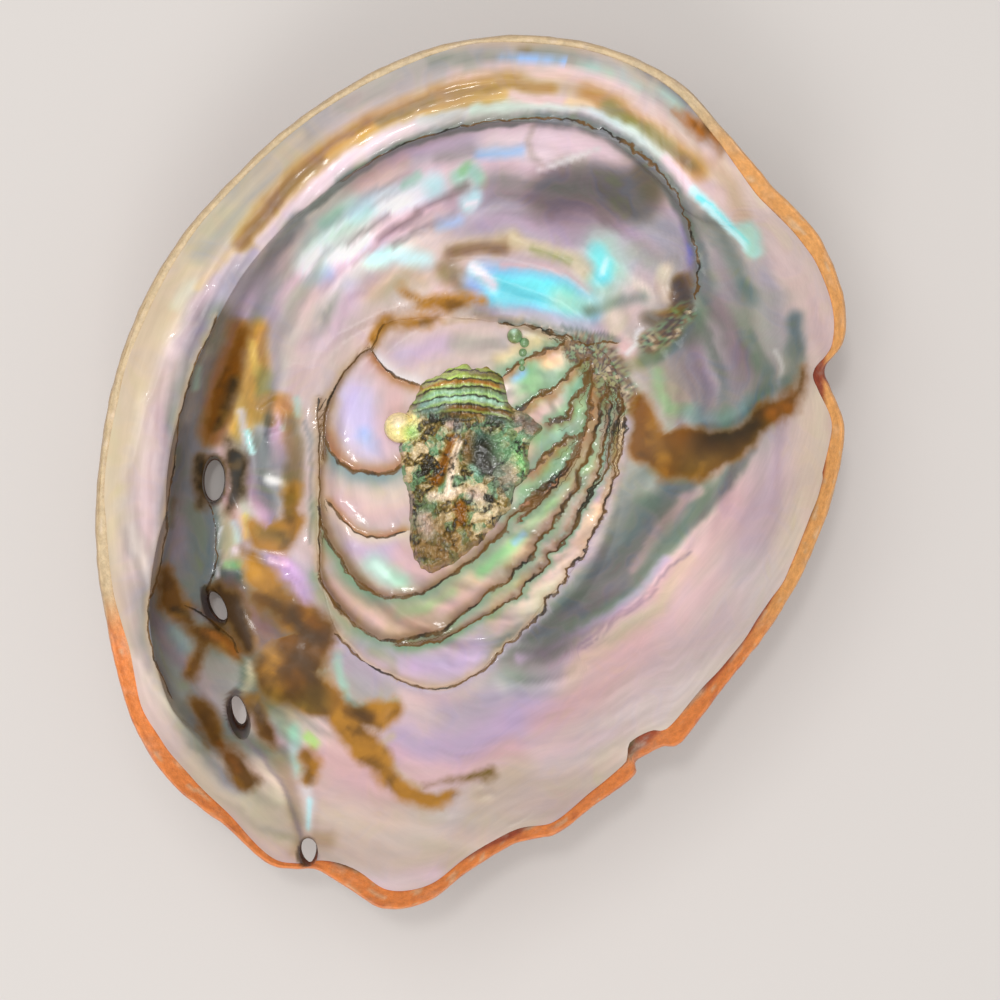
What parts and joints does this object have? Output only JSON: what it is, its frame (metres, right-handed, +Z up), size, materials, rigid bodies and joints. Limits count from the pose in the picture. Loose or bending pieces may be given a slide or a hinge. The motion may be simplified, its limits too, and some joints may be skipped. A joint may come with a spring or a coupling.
{
  "type": "red abalone shell",
  "caption": "Ear-shaped abalone shell, hollow side up: nacre bowl with a shelf along one side, a muscle scar, a row of breathing holes and an orange-red margin.",
  "frame": {"origin": "under the middle of the shell, at the level it rests on", "axes": "+X towards the outer lip, +Y towards the spire end, +Z up, out of the hollow"},
  "size_m": [0.1705, 0.1978, 0.0506],
  "materials": {
    "nacre": "polished mother of pearl inside, pale pink, green and violet with brown stains; rough brick red layer outside and along the margin"
  },
  "bodies": {
    "root": {"shell": "nacre"}
  },
  "joints": []
}
